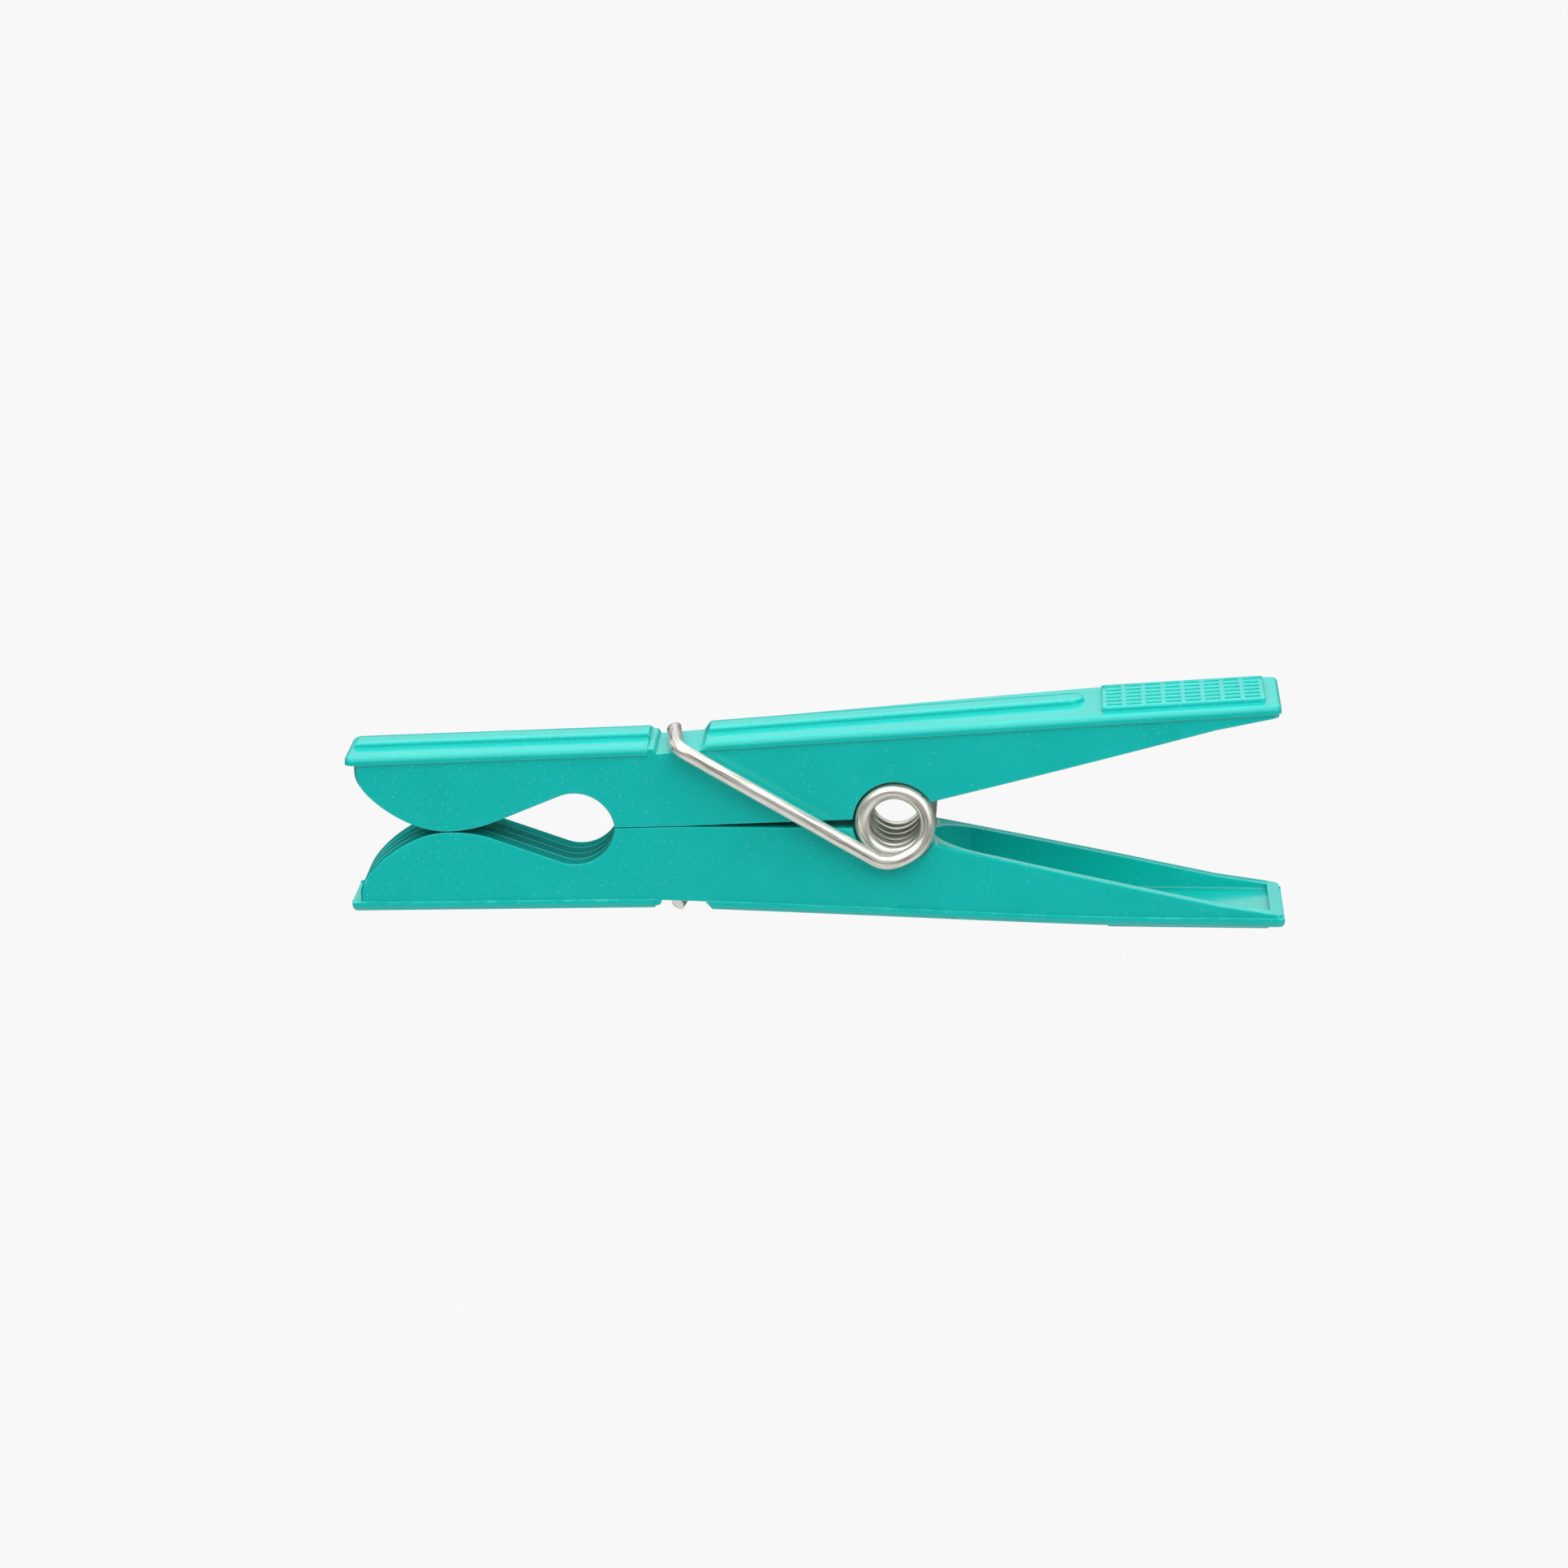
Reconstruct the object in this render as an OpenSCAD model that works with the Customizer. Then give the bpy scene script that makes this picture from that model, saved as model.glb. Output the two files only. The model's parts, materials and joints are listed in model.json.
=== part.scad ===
// Moulded clothespin: two identical levers held together by one torsion spring.
// Each lever is drawn with the spring's coil axis at the origin, its jaw towards
// -X, its handle towards +X and its outer face up. The second lever is the first
// one turned half a turn about X, and the whole peg is then stood on its lower lever.

/* [Lever length and width] */
// Distance from the coil axis to the jaw tip
jaw_reach = 44; // [42:0.5:48]
// Distance from the coil axis to the end of the handle
tail_reach = 30.9; // [30.5:0.1:34]
// Width across the flange at the jaw
jaw_w = 7.6; // [7:0.1:8]
// Width across the flange at the handle
tail_w = 10.8; // [9.5:0.1:11]
// How far the flange stands past each side wall
flange_lip = 0.17; // [0.1:0.01:0.3]
// How far the flange stands past the nose
nose_lip = 0.7; // [0.4:0.1:1]
// Thickness of the outer flange
flange_t = 0.68; // [0.5:0.02:0.9]
// Corner radius of the flange, seen from above
corner_r = 0.6; // [0.3:0.1:1]

/* [Outer face] */
// Height of the flange's underside above the peg's middle plane, at the jaw tip
jaw_ledge = 5.72; // [5.5:0.02:6]
// The same height at the spring's saddle
saddle_ledge = 6.03; // [5.9:0.01:6.2]
// The same height where the handle's grip pad starts
grip_ledge = 7.92; // [7.8:0.02:8.1]
// Height of the raised strip along the face
strip_h = 0.43; // [0.3:0.01:0.5]
// Width of the raised strip
strip_w = 2.8; // [2:0.1:3]
// How far the strip lies off the middle of the face
strip_y = 0.55; // [0:0.05:0.7]
// Where the handle's strip ends
strip_end = 15.3; // [14:0.1:15.5]

/* [Grip pad] */
// Where the grip pad starts
pad_start = 16.7; // [16.5:0.1:17]
// Height of the grip pad
pad_h = 0.4; // [0.3:0.02:0.5]
// Cells along the pad
pad_columns = 8; // [6:1:8]
// Cells across the pad
pad_rows = 6; // [4:1:6]
// Length of one cell
cell_l = 1.15; // [0.9:0.05:1.15]
// Width of one cell
cell_w = 0.65; // [0.4:0.05:0.65]
// Rib between cells along the pad
rib_l = 0.42; // [0.3:0.02:0.42]
// Rib between cells across the pad
rib_w = 0.6; // [0.4:0.05:0.6]
// Depth of the cells
cell_depth = 0.3; // [0.15:0.05:0.3]

/* [Jaw and line hole] */
// Where the two noses touch, from the coil axis
nose_touch = 36; // [35.5:0.1:36.5]
// Radius of the nose's heel, behind the touch line
heel_r = 11; // [9:0.5:13]
// Radius of the line hole's arc
hole_r = 3.25; // [3:0.05:3.3]
// Distance from the coil axis to the centre of that arc
hole_x = 25.75; // [25.5:0.05:26]
// How far that centre lies beyond the middle plane
hole_sink = 0.35; // [0.2:0.05:0.5]
// Where the flat seam behind the line hole ends
land_end = 17.1; // [16:0.1:18]
// Relief of the seam from there to the coil seat, in degrees
relief = 1.35; // [1:0.05:2]
// Gap between the two levers where they touch at rest
closing_gap = 0.04; // [0.02:0.01:0.08]

/* [Handle] */
// Radius of the half-round seat for the coil
seat_r = 3.4; // [3.38:0.01:3.5]
// Height of the handle's inner edge at the coil seat
inner_low = 1.75; // [1.6:0.05:1.8]
// Height of the handle's inner edge where it bends, near the end
inner_bend = 7.2; // [7:0.05:7.3]
// Where the inner edge bends
bend_x = 25.7; // [25:0.1:26.5]
// Height of the inner edge at the end of the handle
inner_high = 8.12; // [8:0.02:8.2]
// Thickness of the handle's side walls
wall_t = 1.05; // [0.8:0.05:1.2]
// Thickness of the handle's end wall
end_t = 1.13; // [0.9:0.01:1.3]
// Thickness of the handle's floor, without its pad
floor_t = 0.62; // [0.5:0.02:0.66]
// Centre of the channel's round end, from the coil axis
channel_turn = 6.7; // [6.6:0.1:8]

/* [Spring saddle] */
// Jaw side of the gap in the flange
saddle_jaw = 19.6; // [19.4:0.1:20]
// Handle side of the gap in the flange, at its floor
saddle_tail = 15.4; // [15:0.1:15.6]
// How far the handle side leans back over the flange's height
saddle_lean = 0.6; // [0.3:0.1:0.8]
// Centre of the low round lip that keeps the hook in place
lip_x = 19.05; // [18.9:0.05:19.05]
// Radius of that lip
lip_r = 0.5; // [0.3:0.05:0.5]

/* [Spring] */
// Wire diameter
wire_d = 1.2; // [1:0.05:1.2]
// Radius of the coil, to the middle of the wire
coil_r = 2.64; // [2.5:0.02:2.66]
// Extra radius at the coil's two ends, where it runs out into the arms
coil_flare = 0.45; // [0:0.05:0.5]
// Whole turns beyond the part turn that joins the two arms
whole_turns = 5; // [3:1:5]
// Distance from the middle plane to the coil's end, to the middle of the wire
arm_y = 5.4; // [5:0.05:5.6]
// The same distance where the arm bends over the lever
hook_y = 4.85; // [4.75:0.05:5.2]
// Distance from the coil axis to the hook
hook_x = 17.2; // [17:0.1:17.3]
// Length of the hook across the lever, from the bend
hook_l = 6.9; // [4:0.1:7.2]
// Lean of the hook towards the jaw, in degrees
hook_lean = 5; // [0:1:5]
// Bend radius, to the middle of the wire
bend_r = 1.1; // [0.9:0.1:1.4]

/* [Hidden] */
$fn = 96;
plastic = [0.08, 0.68, 0.64];
steel = [0.85, 0.84, 0.82];

seam = closing_gap / 2;
wire_r = wire_d / 2;
top_t = flange_t + pad_h;
saddle_x = -saddle_jaw;
pad_end = pad_start + pad_columns * cell_l + (pad_columns + 1) * rib_l;
pad_w = pad_rows * cell_w + (pad_rows + 1) * rib_w;
grip_x = pad_start - 0.7;
strip_start = 0.4 - jaw_reach;

// The peg stands on the front end of its jaw strip and on its flat grip pad.
jaw_foot = ledge_jaw(strip_start) + flange_t + strip_h;
pad_slope = (grip_ledge + top_t - jaw_foot) / (grip_x - strip_start);
rest_tilt = atan(pad_slope);
axis_height = (grip_ledge + top_t - grip_x * pad_slope) * cos(rest_tilt);
jaw_out = jaw_ledge + flange_t;
tail_out = ledge(tail_reach) + flange_t;
middle_x = ((tail_reach - jaw_reach) * cos(rest_tilt) + (tail_out - jaw_out) * sin(rest_tilt)) / 2;

// Width grows smoothly between the saddle and the grip pad.
flare_from = -20;
flare_to = 20;
flare_steps = 12;
corner_steps = 6;

// Heel arc and line-hole arc share one straight tangent, the ramp.
ramp = atan2(-hole_sink - heel_r, nose_touch - hole_x)
    + asin((heel_r + hole_r) / norm([nose_touch - hole_x, hole_sink + heel_r]));
hole_corner = acos(hole_sink / hole_r) - 90;
arc_steps = 16;

// The arm runs straight from the hook to the widened end of the coil.
hook_z = ledge(-hook_x) + wire_r + 0.04;
arm_slope = atan2(hook_z, hook_x) + asin((coil_r + coil_flare) / norm([hook_x, hook_z]));
coil_from = -90 - arm_slope;
coil_turn = 360 * whole_turns - 2 * coil_from;
flare_turn = 60;
turn_steps = 18;
wire_sides = 8;
bend_steps = 5;

// Height of the flange's underside on the jaw, then on the whole lever.
function ledge_jaw(x) =
    jaw_ledge + (saddle_ledge - jaw_ledge) * (x + jaw_reach) / (jaw_reach - saddle_jaw);
function ledge(x) =
    x < saddle_x ? ledge_jaw(x)
    : x < grip_x ? saddle_ledge + (grip_ledge - saddle_ledge) * (x - saddle_x) / (grip_x - saddle_x)
    : grip_ledge + (x - grip_x) * pad_slope;

function smooth(t) = t * t * (3 - 2 * t);
function half_w(x) =
    (jaw_w + (tail_w - jaw_w) * smooth(min(1, max(0, (x - flare_from) / (flare_to - flare_from))))) / 2;

function bezier(a, b, c, d, t) =
    pow(1 - t, 3) * a + 3 * t * pow(1 - t, 2) * b + 3 * t * t * (1 - t) * c + pow(t, 3) * d;
function arc(centre, r, a0, a1, steps) =
    [for (i = [0:steps]) let (a = a0 + (a1 - a0) * i / steps) centre + r * [cos(a), sin(a)]];

// Stations along the outer face, raised by h above the flange's underside.
function face_line(x0, x1, h) = concat(
    [[x0, ledge(x0) + h]],
    [for (x = [saddle_x, grip_x]) if (x > x0 && x < x1) [x, ledge(x) + h]],
    [[x1, ledge(x1) + h]]
);
function reversed(list) = [for (i = [len(list) - 1:-1:0]) list[i]];
function face_band(x0, x1, h0, h1) =
    concat(face_line(x0, x1, h0), reversed(face_line(x0, x1, h1)));

// The nose, from its front down to the line where the noses touch.
nose_x = nose_lip - jaw_reach;
nose_top = 5.1;
nose_line = [
    for (i = [0:12])
        bezier([nose_x, nose_top], [nose_x, 3.4], [-39.4, seam], [-nose_touch, seam], i / 12)
];

// The lever's side outline below the flange, without the coil seat. Its top reaches
// into the flange, except at the saddle, whose floor carries the low round lip.
web_outline = concat(
    nose_line,
    arc([-nose_touch, seam + heel_r], heel_r, -90, ramp - 90, 6),
    arc([-hole_x, seam - hole_sink], hole_r, ramp + 90, -hole_corner, arc_steps),
    [
        [-land_end, seam],
        [-1, seam + (land_end - 1) * tan(relief)],
        [sqrt(pow(seat_r, 2) - pow(inner_low, 2)) - 0.4, inner_low - 0.1],
        [bend_x, inner_bend],
        [tail_reach, inner_high]
    ],
    reversed(face_line(saddle_lean - saddle_tail, tail_reach, flange_t / 2)),
    [[-saddle_tail, ledge(-saddle_tail)]],
    arc([-lip_x, ledge(-lip_x)], lip_r, 0, 180, arc_steps),
    [[saddle_x, ledge(saddle_x)]],
    reversed(face_line(nose_x, saddle_x, flange_t / 2))
);

// One side of a lever in plan, drawn in by inset, with its corners rounded by r.
function side_line(x0, x1, inset, r) = concat(
    r > 0 ? arc([x0 + r, half_w(x0 + r) - inset - r], r, 180, 90, corner_steps) : [],
    [
        for (i = [0:flare_steps])
            let (x = flare_from + (flare_to - flare_from) * i / flare_steps)
                if (x > x0 + r && x < x1 - r) [x, half_w(x) - inset]
    ],
    arc([x1 - corner_r, half_w(x1 - corner_r) - inset - corner_r], corner_r, 90, 0, corner_steps)
);
function both_sides(points) = concat(points, [for (p = reversed(points)) [p[0], -p[1]]]);

// A side outline spread across the lever, width w.
module across(points, w) {
    translate([0, w / 2, 0]) rotate([90, 0, 0]) linear_extrude(w) polygon(points);
}

// A plan outline taken through the lever's whole height.
module upright(points) {
    translate([0, 0, -1]) linear_extrude(20) polygon(points);
}

module web() {
    intersection() {
        across(web_outline, 20);
        upright(both_sides(side_line(nose_x, tail_reach - flange_lip, flange_lip, corner_r)));
    }
}

module flange() {
    intersection() {
        union() {
            across(face_band(-jaw_reach, saddle_x, 0, flange_t), 20);
            across(
                concat(
                    reversed(face_line(-saddle_tail, tail_reach, 0)),
                    face_line(saddle_lean - saddle_tail, tail_reach, flange_t)
                ),
                20
            );
        }
        upright(both_sides(side_line(-jaw_reach, tail_reach, 0, corner_r)));
    }
}

// The raised strip is square at the saddle and round at the end of its handle part.
module strip() {
    lift = flange_t + strip_h;
    r = strip_w / 2;
    translate([0, strip_y, 0]) {
        across(face_band(strip_start, saddle_x + 0.3, flange_t / 2, lift), strip_w);
        intersection() {
            across(face_band(saddle_lean - saddle_tail, strip_end, flange_t / 2, lift), 20);
            upright(concat([[-20, r]], arc([strip_end - r, 0], r, 90, -90, 12), [[-20, -r]]));
        }
    }
}

module pad() {
    across(face_band(pad_start, pad_end, flange_t / 2, top_t), pad_w);
}

module pad_cells() {
    column = cell_l + rib_l;
    row = cell_w + rib_w;
    for (i = [0:pad_columns - 1], j = [0:pad_rows - 1])
        translate([0, -pad_w / 2 + rib_w + j * row + cell_w / 2, 0]) {
            x0 = pad_start + rib_l + i * column;
            across(face_band(x0, x0 + cell_l, top_t - cell_depth, top_t + 1), cell_w);
        }
}

// The hollow inside the handle, closed by a round end next to the coil seat.
module channel() {
    end_x = tail_reach - end_t;
    inset = flange_lip + wall_t;
    round_r = half_w(channel_turn) - inset;
    intersection() {
        across(concat([[0, -1]], face_line(0, end_x, flange_t - floor_t), [[end_x, -1]]), 20);
        upright(both_sides(concat(
            arc([channel_turn, 0], round_r, 180, 90, arc_steps),
            side_line(channel_turn, end_x, inset, 0)
        )));
    }
}

module lever() {
    difference() {
        union() {
            web();
            flange();
            strip();
            pad();
        }
        rotate([90, 0, 0]) cylinder(r = seat_r, h = 20, center = true);
        channel();
        pad_cells();
    }
}

// The peg stands on its lower lever, centred over the origin.
module standing() {
    translate([-middle_x, 0, axis_height]) rotate([0, -rest_tilt, 0]) children();
}

module upper_lever() {
    color(plastic) standing() lever();
}

module lower_lever() {
    color(plastic) standing() rotate([180, 0, 0]) lever();
}

// The middle of the wire after a turn by a, from the near arm's end of the coil.
function wire_at(a) =
    let (
        end = min(1, min(a, coil_turn - a) / flare_turn),
        r = coil_r + coil_flare * (1 + cos(180 * end)) / 2
    )
    [r * cos(coil_from + a), arm_y * (2 * a / coil_turn - 1), r * sin(coil_from + a)];

// Near half of the wire: hook, bend and straight arm, ending where the coil starts.
hook_dir = [sin(hook_lean), -cos(hook_lean), 0];
hook_corner = [-hook_x, -hook_y, hook_z];
coil_start = wire_at(0);
arm_dir = (coil_start - hook_corner) / norm(coil_start - hook_corner);
arm_points = concat(
    [hook_corner - hook_l * hook_dir],
    [
        for (i = [0:bend_steps]) let (a = 90 * i / bend_steps)
            hook_corner + bend_r * ((1 - cos(a)) * arm_dir - (1 - sin(a)) * hook_dir)
    ]
);
coil_points = let (n = ceil(coil_turn / 360 * turn_steps))
    [
        for (i = [0:n]) wire_at(coil_turn * i / n)
    ];
function turned(points) = [for (p = reversed(points)) [p[0], -p[1], -p[2]]];
wire_points = concat(arm_points, coil_points, turned(arm_points));

function unit(v) = v / norm(v);
function tangent(points, i) = unit(points[min(i + 1, len(points) - 1)] - points[max(i - 1, 0)]);
function square_to(v, t) = unit(v - (v * t) * t);

// A round wire swept along points, each ring turned as little as possible.
module wire(points, r, sides) {
    last = len(points) - 1;
    normals = [
        for (i = 0, n = square_to([0, 0, 1], tangent(points, 0)); i <= last;
             i = i + 1, n = square_to(n, tangent(points, min(i, last)))) n
    ];
    rings = [
        for (i = [0:last], k = [0:sides - 1])
            let (a = 360 * k / sides, n = normals[i], b = cross(tangent(points, i), n))
                points[i] + r * (cos(a) * n + sin(a) * b)
    ];
    quads = [
        for (i = [0:last - 1], k = [0:sides - 1])
            let (k2 = (k + 1) % sides)
                [i * sides + k, (i + 1) * sides + k, (i + 1) * sides + k2, i * sides + k2]
    ];
    start = [[for (k = [0:sides - 1]) k]];
    end = [[for (k = [sides - 1:-1:0]) last * sides + k]];
    polyhedron(rings, concat(quads, start, end));
}

module torsion_spring() {
    color(steel) standing() wire(wire_points, wire_r, wire_sides);
}

upper_lever();
lower_lever();
torsion_spring();
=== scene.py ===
# %% [markdown]
# # A moulded clothespin
#
# The peg has three physical pieces: two identical plastic levers and one torsion spring.
# The frame comes from the CAD model, which fixes every size and the hinge. This lesson
# gives the three pieces their finished shapes and finishes, in the same place.

import json
import math

import bmesh
import bpy
import numpy as np
from mathutils import Matrix, Vector


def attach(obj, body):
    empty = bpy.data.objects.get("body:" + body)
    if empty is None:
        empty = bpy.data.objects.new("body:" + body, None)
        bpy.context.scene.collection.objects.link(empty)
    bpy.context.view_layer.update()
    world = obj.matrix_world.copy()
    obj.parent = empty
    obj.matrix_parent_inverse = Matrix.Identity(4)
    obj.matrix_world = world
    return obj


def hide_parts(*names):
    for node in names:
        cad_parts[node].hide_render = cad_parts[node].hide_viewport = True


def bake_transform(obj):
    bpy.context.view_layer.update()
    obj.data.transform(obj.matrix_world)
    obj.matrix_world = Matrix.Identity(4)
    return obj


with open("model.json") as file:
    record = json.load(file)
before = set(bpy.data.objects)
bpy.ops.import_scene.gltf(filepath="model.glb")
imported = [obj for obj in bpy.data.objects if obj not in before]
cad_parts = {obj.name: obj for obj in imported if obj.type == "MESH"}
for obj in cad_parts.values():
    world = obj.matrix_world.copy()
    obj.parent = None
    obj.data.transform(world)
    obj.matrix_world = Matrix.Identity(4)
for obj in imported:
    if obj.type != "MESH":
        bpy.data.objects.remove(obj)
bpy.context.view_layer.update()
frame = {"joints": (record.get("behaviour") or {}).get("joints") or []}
hinge = frame["joints"][0]

# %% [markdown]
# ## Sizes
#
# A lever is drawn lying level with the coil's axis at the origin, its jaw towards -X and
# its outer face up, in millimetres, which keeps the numbers easy to read. One function
# then stands it in the frame, in metres. The sizes repeat the CAD source's values.

# %% Sizes in millimetres
MM = 0.001
JAW_TIP, HANDLE_END = -44.0, 30.9
JAW_W, HANDLE_W, OVERHANG = 7.6, 10.8, 0.17
NOSE_X = -43.3
FLANGE_T, STRIP_H, PAD_H = 0.68, 0.43, 0.4
LEDGE_JAW, LEDGE_SADDLE, LEDGE_GRIP = 5.72, 6.03, 7.92
SADDLE_JAW, SADDLE_HANDLE, SADDLE_LEAN = -19.6, -15.4, 0.45
STRIP_START, STRIP_END, STRIP_Y, STRIP_HALF = -43.6, 15.3, 0.55, 1.4
PAD_START, PAD_END, PAD_HALF = 16.7, 29.68, 4.05
GRIP_X = PAD_START - 0.7
COIL_SEAT_R = 3.4
WIDEN_FROM, WIDEN_OVER = -20, 40

# The peg stands on its pad and on the front end of its jaw's strip.
strip_share = (STRIP_START - JAW_TIP) / (SADDLE_JAW - JAW_TIP)
foot = LEDGE_JAW + (LEDGE_SADDLE - LEDGE_JAW) * strip_share + FLANGE_T + STRIP_H
REST_SLOPE = (LEDGE_GRIP + FLANGE_T + PAD_H - foot) / (GRIP_X - STRIP_START)
REST_TILT = math.atan(REST_SLOPE)
print("The peg rests tilted by", round(math.degrees(REST_TILT), 3), "degrees")


def ledge(x):
    """Height of the flange's underside at x."""
    if x < SADDLE_JAW:
        return LEDGE_JAW + (LEDGE_SADDLE - LEDGE_JAW) * (x - JAW_TIP) / (SADDLE_JAW - JAW_TIP)
    if x < GRIP_X:
        return LEDGE_SADDLE + (LEDGE_GRIP - LEDGE_SADDLE) * (x - SADDLE_JAW) / (GRIP_X - SADDLE_JAW)
    return LEDGE_GRIP + (x - GRIP_X) * REST_SLOPE


def smooth(t):
    """An even swing from 0 to 1 while t runs from 0 to 1."""
    t = min(1.0, max(0.0, t))
    return t * t * (3 - 2 * t)


def half_w(x):
    """Half the flange's width at x, before its corners are rounded."""
    return (JAW_W + (HANDLE_W - JAW_W) * smooth((x - WIDEN_FROM) / WIDEN_OVER)) / 2


def stand(x, y, z, turned=False):
    """A point of a level lever, placed in the frame; turned is for the lower lever."""
    if turned:
        y, z = -y, -z
    c, s = math.cos(REST_TILT), math.sin(REST_TILT)
    px, _, pz = hinge["pos_m"]
    return Vector((px + MM * (x * c - z * s), MM * y, pz + MM * (x * s + z * c)))


# %% [markdown]
# ## The inner outline of a lever
#
# Seen from the side, the inside of a lever runs from its nose, round the heel, up the
# ramp into the line hole, along the seam, over the coil's seat and out to the handle's
# end. Arcs and straight lines give it, as on a drawing, and each sharp corner then gets
# a small round, because a moulded edge is never knife sharp.

# %% Inner outline
SEAM = 0.02
NOSE_TOUCH, SEAM_END = -36, -17.1
NOSE_CURVE = (NOSE_X, 5.1), (NOSE_X, 3.4), (-39.4, SEAM), (NOSE_TOUCH, SEAM)
HEEL_R, HOLE_R, HOLE_X, HOLE_SINK = 11.0, 3.25, -25.75, 0.35
SEAT_JAW_Z, SEAT_HANDLE_Z = 0.36, 1.75


def arc(cx, cz, r, a0, a1, steps):
    """Points of an arc about (cx, cz), from angle a0 to a1 in degrees."""
    return [
        (cx + r * math.cos(math.radians(a)), cz + r * math.sin(math.radians(a)))
        for a in np.linspace(a0, a1, steps + 1)
    ]


def bezier(a, b, c, d, steps):
    """Points of the curve from a to d that b and c pull on."""
    t = np.linspace(0, 1, steps + 1)[:, None]
    a, b, c, d = (np.array(p, float) for p in (a, b, c, d))
    near, far = (1 - t) ** 3 * a + 3 * t * (1 - t) ** 2 * b, 3 * t * t * (1 - t) * c + t**3 * d
    return [tuple(p) for p in near + far]


def rounded(points, radius, sharp=18):
    """The polyline with an arc at each corner that turns by more than sharp degrees."""
    made = [points[0]]
    for a, p, b in zip(points, points[1:], points[2:]):
        a, p, b = Vector(a), Vector(p), Vector(b)
        into, out = (p - a), (b - p)
        turn = into.angle(out)
        if math.degrees(turn) < sharp:
            made.append(tuple(p))
            continue
        reach = min(radius * math.tan(turn / 2), 0.45 * into.length, 0.45 * out.length)
        start, end = p - into.normalized() * reach, p + out.normalized() * reach
        for t in np.linspace(0, 1, 7):
            made.append(tuple((1 - t) ** 2 * start + 2 * t * (1 - t) * p + t * t * end))
    return made + [points[-1]]


dx, dz = HOLE_X - NOSE_TOUCH, HOLE_SINK + HEEL_R
ramp = math.degrees(math.atan2(-dz, dx) + math.asin((HEEL_R + HOLE_R) / math.hypot(dx, dz)))
corner = math.degrees(math.asin(HOLE_SINK / HOLE_R))
seat_from = 180 - math.degrees(math.asin(SEAT_JAW_Z / COIL_SEAT_R))
seat_to = math.degrees(math.asin(SEAT_HANDLE_Z / COIL_SEAT_R))
web_end = HANDLE_END - OVERHANG
inner_line = rounded(
    [(NOSE_X, ledge(NOSE_X))]
    + bezier(*NOSE_CURVE, 22)
    + arc(NOSE_TOUCH, SEAM + HEEL_R, HEEL_R, -90, ramp - 90, 8)[1:]
    + arc(HOLE_X, SEAM - HOLE_SINK, HOLE_R, ramp + 90, corner, 22)
    + [(SEAM_END, SEAM)]
    + arc(0, 0, COIL_SEAT_R, seat_from, seat_to, 30)
    + [(25.7, 7.2), (web_end, 8.1)],
    0.16,
)
print("Ramp", round(ramp, 2), "degrees; outline points", len(inner_line))

# %% [markdown]
# ## One lever as a loft
#
# A lever could be cut from blocks with booleans, but its long soft edges would then shade
# badly. Every cross-section has the same features, so the lever is lofted instead: each
# station along the inner outline gives one closed loop of points, and neighbouring loops
# are joined by quads. Where a feature begins or ends, two loops share one station.

# %% Widths along a lever
CORNER_R, EDGE_R, TIP_R, SOFT_END = 0.6, 0.12, 0.35, 0.3
CHANNEL_TURN, CHANNEL_END, CHANNEL_TIP, WALL_T = 6.7, 29.77, 0.05, 1.05
CHANNEL_R = half_w(CHANNEL_TURN) - OVERHANG - WALL_T
CHANNEL_START = CHANNEL_TURN - math.sqrt(CHANNEL_R**2 - CHANNEL_TIP**2)


def corner_inset(distance, r):
    """How far a round of radius r has drawn a side in, at that distance from the end."""
    return 0.0 if distance >= r else r - math.sqrt(max(0.0, r * r - (r - max(0.0, distance)) ** 2))


def flange_half(x):
    return half_w(x) - corner_inset(x - JAW_TIP, CORNER_R) - corner_inset(HANDLE_END - x, CORNER_R)


def web_half(x):
    x = min(web_end, max(NOSE_X, x))
    inset = corner_inset(x - NOSE_X, CORNER_R) + corner_inset(web_end - x, CORNER_R)
    return half_w(x) - OVERHANG - inset


def channel_half(x):
    if x < CHANNEL_TURN:
        return math.sqrt(max(0.0, CHANNEL_R**2 - (CHANNEL_TURN - x) ** 2))
    return half_w(x) - OVERHANG - WALL_T - corner_inset(CHANNEL_END - x, SOFT_END)


# %% Heights of the outer face
LIP_L, LIP_H, LIP_R = 0.62, 0.46, 0.4


def flange_top(x):
    """Thickness of the flange at x, with its ends rounded and its saddle side leaning."""
    t = FLANGE_T - corner_inset(x - JAW_TIP, TIP_R) - corner_inset(HANDLE_END - x, TIP_R)
    if x <= SADDLE_JAW:
        return t - corner_inset(SADDLE_JAW - x, EDGE_R)
    lean = (x - SADDLE_HANDLE) / SADDLE_LEAN
    return t * (min(1.0, lean) if lean < 0.8 else 1 - 0.5 * max(0.0, 1.2 - lean) ** 2 / 0.4)


def strip_top(x):
    """Height of the raised strip above the flange at x."""
    if x <= SADDLE_JAW:
        from_tip = STRIP_H - corner_inset(x - STRIP_START, STRIP_H)
        return from_tip - corner_inset(SADDLE_JAW - x, EDGE_R)
    if x > STRIP_END + 1e-4:
        return 0.0
    start = SADDLE_HANDLE + SADDLE_LEAN
    return STRIP_H * smooth((x - start + 0.05) / 0.3) - corner_inset(STRIP_END - x, SOFT_END)


def strip_half(x):
    """Half the raised strip's width at x, with a round end towards the pad."""
    if x > STRIP_END - STRIP_HALF:
        x = min(x, STRIP_END)
        return max(0.03, math.sqrt(STRIP_HALF**2 - (x - STRIP_END + STRIP_HALF) ** 2))
    return STRIP_HALF - corner_inset(x - STRIP_START, 0.25)


def pad_top(x):
    """Height of the grip pad above the flange at x."""
    if x < PAD_START or x > PAD_END:
        return 0.0
    return PAD_H - corner_inset(x - PAD_START, EDGE_R) - corner_inset(PAD_END - x, EDGE_R)


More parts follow.
